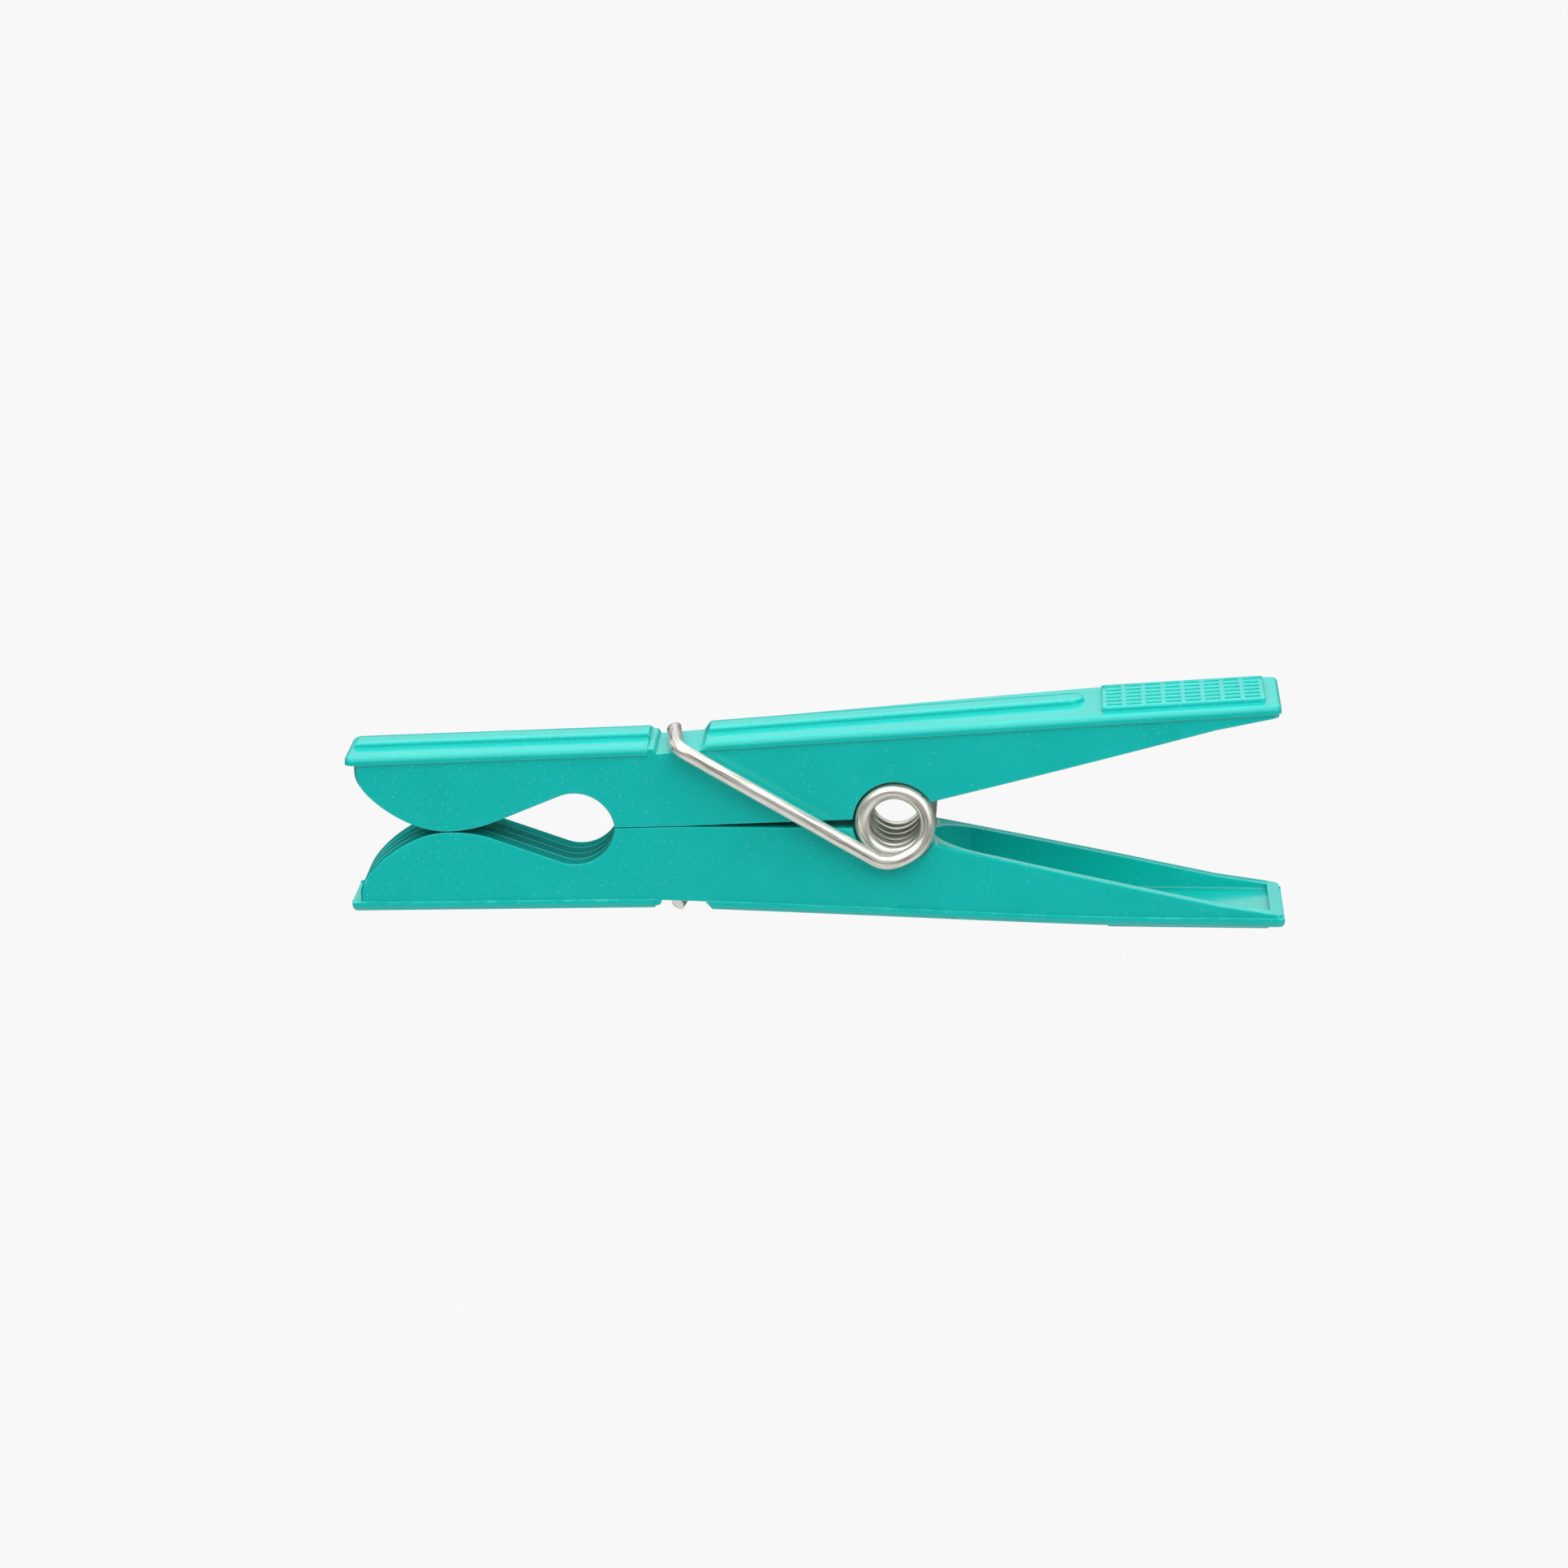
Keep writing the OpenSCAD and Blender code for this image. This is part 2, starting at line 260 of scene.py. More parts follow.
def lip_top(x):
    """The low round lip beside the flange's end that keeps the hook in its place."""
    if x > SADDLE_JAW + LIP_L:
        return 0.0
    return LIP_H - corner_inset(SADDLE_JAW + LIP_L - x, LIP_R)


# %% [markdown]
# ## What a cross-section holds
#
# Walking round a loop: the gripping surface or the channel's ceiling, the side wall, the
# flange's underside with its thread of flash, the flange's soft outer edge, and the outer
# face with its strip or pad. The flash is the thin ragged line that a mould's two halves
# leave where they meet.

# %% Points of one cross-section
FLUTE, GROOVES_END, CEILING = 0.05, -22.6, 0.06
ROUND = [math.radians(a) for a in (0, 22.5, 45, 67.5, 90)]


def inner_points(x, z, n, kind, side):
    """From next to the middle of the inner face out to the foot of the side wall."""
    w, r = web_half(x), EDGE_R
    if kind == "flange":
        return [(x, side * w * t, z) for t in np.linspace(0.08, 1, 14)]
    if kind in ("channel", "rim"):
        wi, top = channel_half(x), ledge(x) + CEILING
        f, lip = min(0.3, 0.8 * wi), min(0.08, 0.5 * wi)
        made = [(x, wi * 0.3, top), (x, wi * 0.6, top), (x, (wi - f) * 0.98, top)]
        made += [(x, wi - f * (1 - math.sin(a)), top - f * (1 - math.cos(a))) for a in ROUND[1:]]
        made += [(x, wi, z + lip), (x, wi + 0.3 * lip, z + 0.3 * lip), (x, wi + lip, z)]
        made += [(x, wi + lip + 0.01, z)]
        if kind == "rim":
            made = [(px, py, z) for px, py, _ in made]
    else:
        deep = FLUTE * smooth((x - NOSE_X - 0.2) / 1.5) * smooth((GROOVES_END - x) / 0.25)
        q, end = 0.5 * w, w - r
        steps = [(0.04, 0.45), (0.12, 0.8), (q / 2, 1), (q - 0.12, 0.8), (q - 0.04, 0.45), (q, 0)]
        steps += [(q + 0.04, 0.45), (q + 0.12, 0.8), ((q + end) / 2, 1), (end - 0.12, 0.6)]
        steps += [(end - 0.02, 0)]
        made = [(x - d * deep * n[0], min(y, end), z - d * deep * n[1]) for y, d in steps]
    for a in (0, 45, 90):
        c, s = 1 - math.cos(math.radians(a)), 1 - math.sin(math.radians(a))
        px, pz = x - r * c * n[0], z - r * c * n[1]
        made.append((px, max(0.0, web_half(px) - r * s), pz))
    return [(px, side * py, pz) for px, py, pz in made]


def flange_points(x, kind, side, flash):
    """From the top of the side wall, round the flange's edge, to the outer face."""
    w, z = web_half(x), ledge(x)
    if kind == "saddle":
        top, r = z + lip_top(x), 0.1
        rise = [(w, z - 0.1), (w, top - r), (w, top - r), (w, top - r)]
        rise += [(w - r * (1 - math.cos(a)), top - r + r * math.sin(a)) for a in ROUND]
        return [(x, side * y, h) for y, h in rise + [(w - r - 0.02, top)]]
    W, t = flange_half(x), flange_top(x)
    r = min(0.5, 0.85 * t)
    rise = [(w, z - 0.14), (w + 0.3 * (W - w), z - 0.05)]
    rise += [(W - 0.02, z - flash), (W, z + min(0.05, 0.1 * t))]
    rise += [(W - r * (1 - math.cos(a)), z + t - r + r * math.sin(a)) for a in ROUND]
    return [(x, side * y, h) for y, h in rise + [(W - r - 0.05, z + t)]]


def outer_points(x, kind):
    """Across the outer face, from +Y to -Y."""
    if kind == "saddle":
        return [(x, 3.2 * t, ledge(x) + lip_top(x)) for t in np.linspace(1, -1, 17)]
    base = ledge(x) + flange_top(x)
    if x > STRIP_END + 0.1:
        inset = corner_inset(x - PAD_START, SOFT_END) + corner_inset(PAD_END - x, SOFT_END)
        up, half, mid = pad_top(x), PAD_HALF - inset, 0.0
    else:
        up, half, mid = strip_top(x), strip_half(x), STRIP_Y
    r = min(0.2, 0.5 * up, 0.7 * half + 1e-4)
    f = min(0.1, 0.3 * up)
    side = [(half + 0.25, 0), (half + f, 0), (half + 0.3 * f, 0.3 * f), (half, f)]
    side += [(half - r * (1 - math.cos(a)), up - r + r * math.sin(a)) for a in ROUND[::2]]
    side += [(0.6 * (half - r), up)]
    points = side + [(0, up)] + [(-y, h) for y, h in reversed(side)]
    return [(x, mid + y, base + h) for y, h in points]


# %% Places that need a station
STATION_STEP, SAME = 0.4, 2e-3
BEND = [1 - math.cos(a) for a in ROUND]


def feature_places():
    """Even steps along a lever, and closer ones wherever a feature begins, bends or ends."""
    extra = list(np.arange(-42.5, 30.5, STATION_STEP))
    extra += [NOSE_X + CORNER_R * b for b in BEND] + [web_end - CORNER_R * b for b in BEND]
    extra += [STRIP_START + STRIP_H * b for b in BEND] + [STRIP_END - STRIP_HALF * b for b in BEND]
    extra += [SADDLE_JAW - EDGE_R * b for b in BEND] + [SADDLE_JAW, SADDLE_HANDLE]
    extra += [SADDLE_HANDLE + SADDLE_LEAN * b for b in (0.2, 0.5, 0.8, 0.9, 1, 1.1, 1.2, 1.3, 1.5)]
    extra += [SADDLE_JAW + LIP_L - LIP_R * b for b in BEND] + [SADDLE_JAW + LIP_L + 0.03]
    extra += [PAD_START + d for d in (-0.05, 0, 0.03, 0.07, 0.12, 0.3)]
    extra += [PAD_END + d for d in (0.05, 0, -0.03, -0.07, -0.12, -0.3)]
    extra += [STRIP_END + 0.05, STRIP_END + 0.2]
    last = math.acos(CHANNEL_TIP / CHANNEL_R)
    extra += [CHANNEL_TURN - CHANNEL_R * math.sin(a) for a in np.linspace(0, last, 13)]
    extra += [CHANNEL_END - SOFT_END * b for b in BEND] + [HANDLE_END - TIP_R * b for b in BEND]
    return sorted(extra)


# %% Stations along a lever
def stations():
    """(x, z, inward normal, kind inside, kind outside) of every loop, jaw to handle."""
    line = [Vector(p) for p in inner_line]
    normals = []
    for i, p in enumerate(line):
        t = (line[min(i + 1, len(line) - 1)] - line[max(i - 1, 0)]).normalized()
        normals.append((t[1], -t[0]))
    rows = [(p[0], p[1], n) for p, n in zip(line, normals)]
    for x in feature_places():
        for i in range(len(rows) - 1):
            (x0, z0, n0), (x1, z1, n1) = rows[i], rows[i + 1]
            if x0 + 1e-3 < x < x1 - 1e-3:
                t = (x - x0) / (x1 - x0)
                n = Vector(n0).lerp(Vector(n1), t).normalized()
                rows.insert(i + 1, (x, z0 + t * (z1 - z0), tuple(n)))
                break
    tip = [JAW_TIP + d for d in sorted({CORNER_R * b for b in BEND} | {TIP_R * b for b in BEND})]
    tip = [x for x in tip if x < NOSE_X] + [NOSE_X]
    made = [(x, ledge(x), (0, -1), "flange", "flange") for x in tip]
    for x, z, n in rows:
        outside = "saddle" if SADDLE_JAW < x < SADDLE_HANDLE else "flange"
        inside = "channel" if CHANNEL_START + 1e-3 < x < CHANNEL_END - 1e-3 else "solid"
        if abs(x - CHANNEL_START) < SAME:
            made += [(x, z, n, "rim", outside), (x, z, n, "channel", outside)]
        elif abs(x - CHANNEL_END) < SAME:
            made += [(x, z, n, "channel", outside), (x, z, n, "rim", outside)]
        elif abs(x - SADDLE_JAW) < SAME:
            made += [(x, z, n, inside, "flange"), (x, z, n, inside, "saddle")]
        elif abs(x - SADDLE_HANDLE) < SAME:
            made += [(x, z, n, inside, "saddle"), (x, z, n, inside, "flange")]
        else:
            made.append((x, z, n, inside, outside))
    tail = [web_end] + sorted(HANDLE_END - TIP_R * b for b in BEND if TIP_R * b < OVERHANG)
    return made + [(x, ledge(x), (0, -1), "flange", "flange") for x in tail]


# %% Loft a lever
def add_object(name, data):
    """A new object, put into the scene."""
    made = bpy.data.objects.new(name, data)
    bpy.context.scene.collection.objects.link(made)
    return made


def lofted_lever(name, turned, seed, flash):
    """A closed lever. The seed and the flash's mean height shape its ragged mould lines."""
    rng = np.random.default_rng(seed)
    rows = stations()
    xs = np.array([row[0] for row in rows])
    grid = np.arange(-45, 32, STATION_STEP)
    ragged = [
        np.interp(xs, grid, np.maximum(0, rng.normal(flash, flash, len(grid)))) for _ in range(2)
    ]
    loops = []
    for i, (x, z, n, inside, outside) in enumerate(rows):
        right = inner_points(x, z, n, inside, 1) + flange_points(x, outside, 1, ragged[0][i])
        left = inner_points(x, z, n, inside, -1) + flange_points(x, outside, -1, ragged[1][i])
        middle = (x, 0.0, ledge(x) + CEILING if inside == "channel" else z)
        loops.append([middle] + right + outer_points(x, outside) + left[::-1])
    sizes = {len(loop) for loop in loops}
    assert len(sizes) == 1, sizes
    bm = bmesh.new()
    made = [[bm.verts.new(stand(*p, turned)) for p in loop] for loop in loops]
    for a, b in zip(made, made[1:]):
        for k in range(len(a)):
            j = (k + 1) % len(a)
            bm.faces.new((a[k], a[j], b[j], b[k]))
    bm.faces.new(made[0][::-1])
    bm.faces.new(made[-1])
    bmesh.ops.remove_doubles(bm, verts=bm.verts, dist=2e-7)
    bmesh.ops.dissolve_degenerate(bm, dist=1e-7, edges=bm.edges)
    bmesh.ops.recalc_face_normals(bm, faces=bm.faces)
    open_edges = sum(1 for e in bm.edges if not e.is_manifold)
    mesh = bpy.data.meshes.new(name)
    bm.to_mesh(mesh)
    volume = bm.calc_volume(signed=True) * 1e9
    bm.free()
    piece = add_object(name, mesh)
    print(name, len(rows), "stations,", len(mesh.polygons), "faces,", open_edges, "open edges")
    print(name, "holds", round(volume, 1), "mm3 of plastic")
    return piece


upper = lofted_lever("upper_lever_shell", False, 11, 0.02)
lower = lofted_lever("lower_lever_shell", True, 23, 0.07)

# %% [markdown]
# ## Finishes
#
# The levers are glossy coloured plastic. Regrind in the batch leaves many tiny pale specks
# and a few dark ones, and the gloss varies slightly. The spring is plated hard-drawn wire,
# bright, with fine streaks along it from the drawing die and small pits. Specks and slow
# variation occur in both, so each is one shader group that both finishes use.

# %% Helpers for node trees
def add_socket(tree, name, kind, default=None, output=False):
    """One named input or output of a tree."""
    way = "OUTPUT" if output else "INPUT"
    socket = tree.interface.new_socket(name, in_out=way, socket_type=kind)
    if default is not None:
        socket.default_value = default
    return socket


def add_node(tree, kind, **settings):
    """A new node. Names in settings are its properties; dictionaries under "set" its inputs."""
    node = tree.nodes.new(kind)
    for name, value in settings.pop("set", {}).items():
        node.inputs[name].default_value = value
    for name, value in settings.items():
        setattr(node, name, value)
    return node


def calculate(tree, operation, a, b=None, clamp=False):
    """A Math node, whose inputs are numbers or other nodes' outputs."""
    node = add_node(tree, "ShaderNodeMath", operation=operation, use_clamp=clamp)
    for socket, value in zip(node.inputs, (a, b)):
        if isinstance(value, bpy.types.NodeSocket):
            tree.links.new(value, socket)
        elif value is not None:
            socket.default_value = value
    return node.outputs[0]


def ramp_up(tree, value, start, slope):
    """0 below start, then rising at that slope to 1."""
    past = calculate(tree, "SUBTRACT", value, start)
    return calculate(tree, "MULTIPLY", past, slope, clamp=True)


def use_group(tree, group, position, **values):
    """One of the shader groups below, with its inputs set by name."""
    node = add_node(tree, "ShaderNodeGroup", node_tree=group)
    tree.links.new(position, node.inputs["Position"])
    for name, value in values.items():
        node.inputs[name.replace("_", " ")].default_value = value
    return node.outputs[0]


def blend_colours(tree, factor, a, b):
    """A mix of two colours. The factor and each colour may be a value or a node's output."""
    node = add_node(tree, "ShaderNodeMix", data_type="RGBA")
    if isinstance(factor, bpy.types.NodeSocket):
        tree.links.new(factor, node.inputs["Factor"])
    else:
        node.inputs["Factor"].default_value = factor
    for name, value in (("A", a), ("B", b)):
        socket = next(s for s in node.inputs if s.name == name and s.type == "RGBA")
        if isinstance(value, bpy.types.NodeSocket):
            tree.links.new(value, socket)
        else:
            socket.default_value = (*value, 1)
    return next(s for s in node.outputs if s.type == "RGBA")


# %% Shader group: specks
SPECK_EDGE = 12.0


def speck_group():
    """Round specks of one size, in a share of the cells: 1 inside a speck, 0 outside."""
    tree = bpy.data.node_groups.new("specks", "ShaderNodeTree")
    add_socket(tree, "Position", "NodeSocketVector")
    add_socket(tree, "Cells per metre", "NodeSocketFloat", 2500.0)
    add_socket(tree, "Share", "NodeSocketFloat", 0.3)
    add_socket(tree, "Size", "NodeSocketFloat", 0.25)
    add_socket(tree, "Mask", "NodeSocketFloat", output=True)
    given, result = tree.nodes.new("NodeGroupInput"), tree.nodes.new("NodeGroupOutput")
    cells = add_node(tree, "ShaderNodeTexVoronoi", feature="F1")
    tree.links.new(given.outputs["Position"], cells.inputs["Vector"])
    tree.links.new(given.outputs["Cells per metre"], cells.inputs["Scale"])
    pick = add_node(tree, "ShaderNodeSeparateColor")
    tree.links.new(cells.outputs["Color"], pick.inputs["Color"])
    kept = calculate(tree, "LESS_THAN", pick.outputs["Red"], given.outputs["Share"])
    size = calculate(tree, "MULTIPLY", given.outputs["Size"], pick.outputs["Green"])
    edge = calculate(tree, "SUBTRACT", size, cells.outputs["Distance"])
    disc = calculate(tree, "MULTIPLY", edge, SPECK_EDGE, clamp=True)
    tree.links.new(calculate(tree, "MULTIPLY", kept, disc), result.inputs["Mask"])
    return tree


# %% Shader group: mottle
def mottle_group():
    """Slow variation from 0 to 1, because no made surface is quite even."""
    tree = bpy.data.node_groups.new("mottle", "ShaderNodeTree")
    add_socket(tree, "Position", "NodeSocketVector")
    add_socket(tree, "Patches per metre", "NodeSocketFloat", 300.0)
    add_socket(tree, "Amount", "NodeSocketFloat", 1.0)
    add_socket(tree, "Value", "NodeSocketFloat", output=True)
    given, result = tree.nodes.new("NodeGroupInput"), tree.nodes.new("NodeGroupOutput")
    noise = add_node(tree, "ShaderNodeTexNoise", set={"Detail": 4.0, "Roughness": 0.55})
    tree.links.new(given.outputs["Position"], noise.inputs["Vector"])
    tree.links.new(given.outputs["Patches per metre"], noise.inputs["Scale"])
    centred = calculate(tree, "SUBTRACT", noise.outputs["Fac"], 0.5)
    scaled = calculate(tree, "MULTIPLY", centred, given.outputs["Amount"])
    tree.links.new(calculate(tree, "ADD", scaled, 0.5, clamp=True), result.inputs["Value"])
    return tree


specks, mottle = speck_group(), mottle_group()
print("Shader groups:", specks.name, mottle.name)


# %% Finish of the levers
TEAL, DEEP_TEAL = (0.003, 0.6, 0.545), (0.002, 0.54, 0.485)
PALE_SPECK, DARK_SPECK = (0.3, 0.85, 0.8), (0.002, 0.2, 0.18)
BUMP_HEIGHT = 0.00002


def new_finish(name):
    """A material, its tree and surface, and the place on the piece."""
    material = bpy.data.materials.new(name)
    material.use_nodes = True
    tree = material.node_tree
    place = add_node(tree, "ShaderNodeTexCoord").outputs["Object"]
    return material, tree, tree.nodes["Principled BSDF"], place


def bumpy(tree, surface, height, strength):
    """Gives the surface a fine relief that follows height."""
    bump = add_node(tree, "ShaderNodeBump", set={"Strength": strength, "Distance": BUMP_HEIGHT})
    tree.links.new(height, bump.inputs["Height"])
    tree.links.new(bump.outputs["Normal"], surface.inputs["Normal"])


def plastic_finish(name="teal_plastic"):
    """Teal plastic with pale and dark specks, slightly uneven in colour and gloss."""
    material, tree, surface, place = new_finish(name)
    slow = use_group(tree, mottle, place, Patches_per_metre=220.0, Amount=1.2)
    fine = use_group(tree, mottle, place, Patches_per_metre=2600.0, Amount=1.0)
    pale = use_group(tree, specks, place, Cells_per_metre=5000.0, Share=0.24, Size=0.32)
    dark = use_group(tree, specks, place, Cells_per_metre=900.0, Share=0.06, Size=0.2)
    colour = blend_colours(tree, slow, DEEP_TEAL, TEAL)
    colour = blend_colours(tree, calculate(tree, "MULTIPLY", pale, 0.38), colour, PALE_SPECK)
    colour = blend_colours(tree, calculate(tree, "MULTIPLY", dark, 0.6), colour, DARK_SPECK)
    tree.links.new(colour, surface.inputs["Base Color"])
    gloss = calculate(tree, "ADD", calculate(tree, "MULTIPLY", slow, 0.1), 0.2)
    tree.links.new(gloss, surface.inputs["Roughness"])
    bumpy(tree, surface, fine, 0.2)
    surface.inputs["IOR"].default_value = 1.5
    surface.inputs["Subsurface Weight"].default_value = 0.3
    surface.inputs["Subsurface Radius"].default_value = (0.15, 1.0, 0.95)
    surface.inputs["Subsurface Scale"].default_value = 0.0008
    return material


# %% [markdown]
# The wire's streaks run along it. The noise that makes them is stretched along the wire and
# wrapped round it. Plated wire is all metal, but here it is set a little less than that,
# which keeps it as pale as real plating looks in soft light.

# %% Finish of the wire
STEEL_DULL, STEEL_BRIGHT, PIT = (0.36, 0.34, 0.29), (0.92, 0.9, 0.82), (0.2, 0.18, 0.16)
METALLIC = 0.62
STREAK_CHANGE = 60.0  # per metre along the wire; lower draws the streaks out longer


def wire_finish():
    """Bright drawn steel with streaks along it, small pits and slightly uneven gloss."""
    material, tree, surface, place = new_finish("drawn_steel")
    along = add_node(tree, "ShaderNodeAttribute", attribute_name="along").outputs["Fac"]
    around = add_node(tree, "ShaderNodeAttribute", attribute_name="around").outputs["Fac"]
    turn = calculate(tree, "MULTIPLY", around, 2 * math.pi)
    rolled = add_node(tree, "ShaderNodeCombineXYZ")
    tree.links.new(calculate(tree, "MULTIPLY", along, STREAK_CHANGE), rolled.inputs["X"])
    tree.links.new(calculate(tree, "COSINE", turn), rolled.inputs["Y"])
    tree.links.new(calculate(tree, "SINE", turn), rolled.inputs["Z"])
    streaks = add_node(tree, "ShaderNodeTexNoise", set={"Scale": 5.0, "Detail": 5.0})
    tree.links.new(rolled.outputs[0], streaks.inputs["Vector"])
    slow = use_group(tree, mottle, place, Patches_per_metre=500.0, Amount=1.0)
    pits = use_group(tree, specks, place, Cells_per_metre=1500.0, Share=0.12, Size=0.3)
    streak = ramp_up(tree, streaks.outputs["Fac"], 0.37, 8.0)
    colour = blend_colours(tree, streak, STEEL_DULL, STEEL_BRIGHT)
    colour = blend_colours(tree, calculate(tree, "MULTIPLY", pits, 0.7), colour, PIT)
    tree.links.new(colour, surface.inputs["Base Color"])
    gloss = calculate(tree, "ADD", calculate(tree, "MULTIPLY", slow, 0.16), 0.14)
    tree.links.new(gloss, surface.inputs["Roughness"])
    bumpy(tree, surface, streaks.outputs["Fac"], 0.3)
    surface.inputs["Metallic"].default_value = METALLIC
    return material


# %% [markdown]
# The gripping grooves are the same plastic, and look dark on a real peg because they lie in
# shade, while their crests catch the light. The bright room would mirror in them here, so the
# shade is painted in, as a darker finish that hardly mirrors, and the crests' highlight is
# painted as pale lines.

# %% Finish of the gripping grooves, with painted shade and painted crest highlights
GROOVE_SHADE, CREST_HALF, HARDLY_MIRRORS = 0.6, 0.05, 1.05
# Painted shade darkens the grooves, and a painted highlight lines their crests.
SHADE_COLOUR, CREST_HIGHLIGHT = (0.0, 0.14, 0.12), (0.2, 0.75, 0.7)


def grip_painted_shade_and_highlight():
    """The levers' plastic, with painted shade in the grooves and painted highlights on the crests.
    """
    material = plastic_finish("gripping_grooves")
    tree = material.node_tree
    surface = tree.nodes["Principled BSDF"]
    plain = surface.inputs["Base Color"].links[0].from_socket
    place = add_node(tree, "ShaderNodeTexCoord").outputs["Object"]
    spot = add_node(tree, "ShaderNodeSeparateXYZ")
    tree.links.new(place, spot.inputs[0])
    groove = MM * web_half(NOSE_TOUCH) / 2
    # Pale lines on the crests are a painted highlight; the rest of the grooves is darkened as
    # painted shade.
    from_crest = calculate(tree, "PINGPONG", spot.outputs["Y"], groove / 2)
    crest = calculate(tree, "LESS_THAN", from_crest, MM * CREST_HALF)
    shaded = blend_colours(tree, GROOVE_SHADE, plain, SHADE_COLOUR)
    lined = blend_colours(tree, crest, shaded, CREST_HIGHLIGHT)
    tree.links.new(lined, surface.inputs["Base Color"])
    surface.inputs["Specular IOR Level"].default_value = 0.1
    surface.inputs["IOR"].default_value = HARDLY_MIRRORS
    return material


plastic, steel, grooves = plastic_finish(), wire_finish(), grip_painted_shade_and_highlight()
print("Finishes:", plastic.name, steel.name, grooves.name)

# %% [markdown]
# ## The grip pads
#
# Each handle has a raised pad for the finger, with a grid of small pockets. The mould has
# a grid of small tapered pins there, and the tree does the same: it sets one tapered pin on
# each point of a grid and cuts them all from the lever. Then it marks the edges that turn
# sharply, so that the flat faces shade flat.

# %% Tree that presses the pockets
COLUMNS, ROWS = 8, 6
POCKET_L, POCKET_W, RIB_L, RIB_W, POCKET_DEPTH = 1.15, 0.65, 0.42, 0.6, 0.3
PIN_HEIGHTS = -1.0, -0.15, 0.02, 0.4
PIN_WIDTHS = 0.86, 1.0, 1.1, 1.12
SOFT_EDGE = math.radians(38)


def set_inputs(modifier, **values):
    """Sets a Geometry Nodes modifier's inputs by their sockets' identifiers."""
    for item in modifier.node_group.interface.items_tree:
        if item.item_type == "SOCKET" and item.in_out == "INPUT":
            name = item.name.replace(" ", "_").lower()
            if name in values:
                modifier[item.identifier] = values[name]


def pocket_tree():
    """Cuts a grid of pockets into a lever."""
    tree = bpy.data.node_groups.new("grip_pockets", "GeometryNodeTree")
    add_socket(tree, "Lever", "NodeSocketGeometry")
    add_socket(tree, "Columns", "NodeSocketInt", COLUMNS)
    add_socket(tree, "Rows", "NodeSocketInt", ROWS)
    for name in ("Length", "Width", "Rib along", "Rib across", "Depth"):
        add_socket(tree, name, "NodeSocketFloat", 0.001)
    add_socket(tree, "Place", "NodeSocketVector")
    add_socket(tree, "Turn", "NodeSocketVector")
    add_socket(tree, "Finish", "NodeSocketMaterial")
    add_socket(tree, "Pressed", "NodeSocketGeometry", output=True)
    given, result = tree.nodes.new("NodeGroupInput").outputs, tree.nodes.new("NodeGroupOutput")
    link = tree.links.new

    # One pin: a block of four layers, each at its own share of the pocket's depth and width.
    block = add_node(tree, "GeometryNodeMeshCube", set={"Vertices Z": len(PIN_HEIGHTS)})
    spot = add_node(tree, "ShaderNodeSeparateXYZ")
    link(add_node(tree, "GeometryNodeInputPosition").outputs[0], spot.inputs[0])
    from_foot = calculate(tree, "ADD", spot.outputs["Z"], 0.5)
    layer = calculate(tree, "ROUND", calculate(tree, "MULTIPLY", from_foot, len(PIN_HEIGHTS) - 1))
    picks = []
    for values in (PIN_HEIGHTS, PIN_WIDTHS):
        pick = add_node(tree, "GeometryNodeIndexSwitch", data_type="FLOAT")
        while len(pick.index_switch_items) < len(values):
            pick.index_switch_items.new()
        link(layer, pick.inputs["Index"])
        for k, value in enumerate(values):
            pick.inputs[1 + k].default_value = value
        picks.append(pick.outputs[0])
    shaped = add_node(tree, "ShaderNodeCombineXYZ")
    for axis, size in (("X", "Length"), ("Y", "Width")):
        wide = calculate(tree, "MULTIPLY", spot.outputs[axis], given[size])
        link(calculate(tree, "MULTIPLY", wide, picks[1]), shaped.inputs[axis])
    link(calculate(tree, "MULTIPLY", given["Depth"], picks[0]), shaped.inputs["Z"])
    pin = add_node(tree, "GeometryNodeSetPosition")
    link(block.outputs["Mesh"], pin.inputs["Geometry"])
    link(shaped.outputs[0], pin.inputs["Position"])

    # The pins on their grid, laid on the pad.
    grid = add_node(tree, "GeometryNodeMeshGrid")
    ways = (("X", "Columns", "Length", "Rib along"), ("Y", "Rows", "Width", "Rib across"))
    for axis, count, size, rib in ways:
        pitch = calculate(tree, "ADD", given[size], given[rib])
        gaps = calculate(tree, "SUBTRACT", given[count], 1.0)
        link(calculate(tree, "MULTIPLY", pitch, gaps), grid.inputs["Size " + axis])
        link(given[count], grid.inputs["Vertices " + axis])
    pins = add_node(tree, "GeometryNodeInstanceOnPoints")
    link(grid.outputs["Mesh"], pins.inputs["Points"])
    link(pin.outputs["Geometry"], pins.inputs["Instance"])
    laid = add_node(tree, "GeometryNodeTransform")
    link(pins.outputs["Instances"], laid.inputs["Geometry"])
    link(given["Place"], laid.inputs["Translation"])
    link(given["Turn"], laid.inputs["Rotation"])
    solid_pins = add_node(tree, "GeometryNodeRealizeInstances")
    link(laid.outputs[0], solid_pins.inputs[0])

    # The cut, the sharp edges and the finish.
    cut = add_node(tree, "GeometryNodeMeshBoolean", operation="DIFFERENCE", solver="MANIFOLD")
    link(given["Lever"], cut.inputs["Mesh 1"])
    link(solid_pins.outputs[0], cut.inputs["Mesh 2"])
    angle = add_node(tree, "GeometryNodeInputMeshEdgeAngle")
    soft = calculate(tree, "LESS_THAN", angle.outputs["Unsigned Angle"], SOFT_EDGE)
    edges = add_node(tree, "GeometryNodeSetShadeSmooth", domain="EDGE")
    link(cut.outputs["Mesh"], edges.inputs["Geometry"])
    link(soft, edges.inputs["Shade Smooth"])
    real = add_node(tree, "GeometryNodeRealizeInstances")
    finish = add_node(tree, "GeometryNodeSetMaterial")
    link(edges.outputs[0], real.inputs[0])
    link(real.outputs[0], finish.inputs["Geometry"])
    link(given["Finish"], finish.inputs["Material"])
    link(finish.outputs[0], result.inputs["Pressed"])
    return tree


# %% Finish a lever's faces
WALL_FACING, SLOPE_STEP = 0.985, 0.2


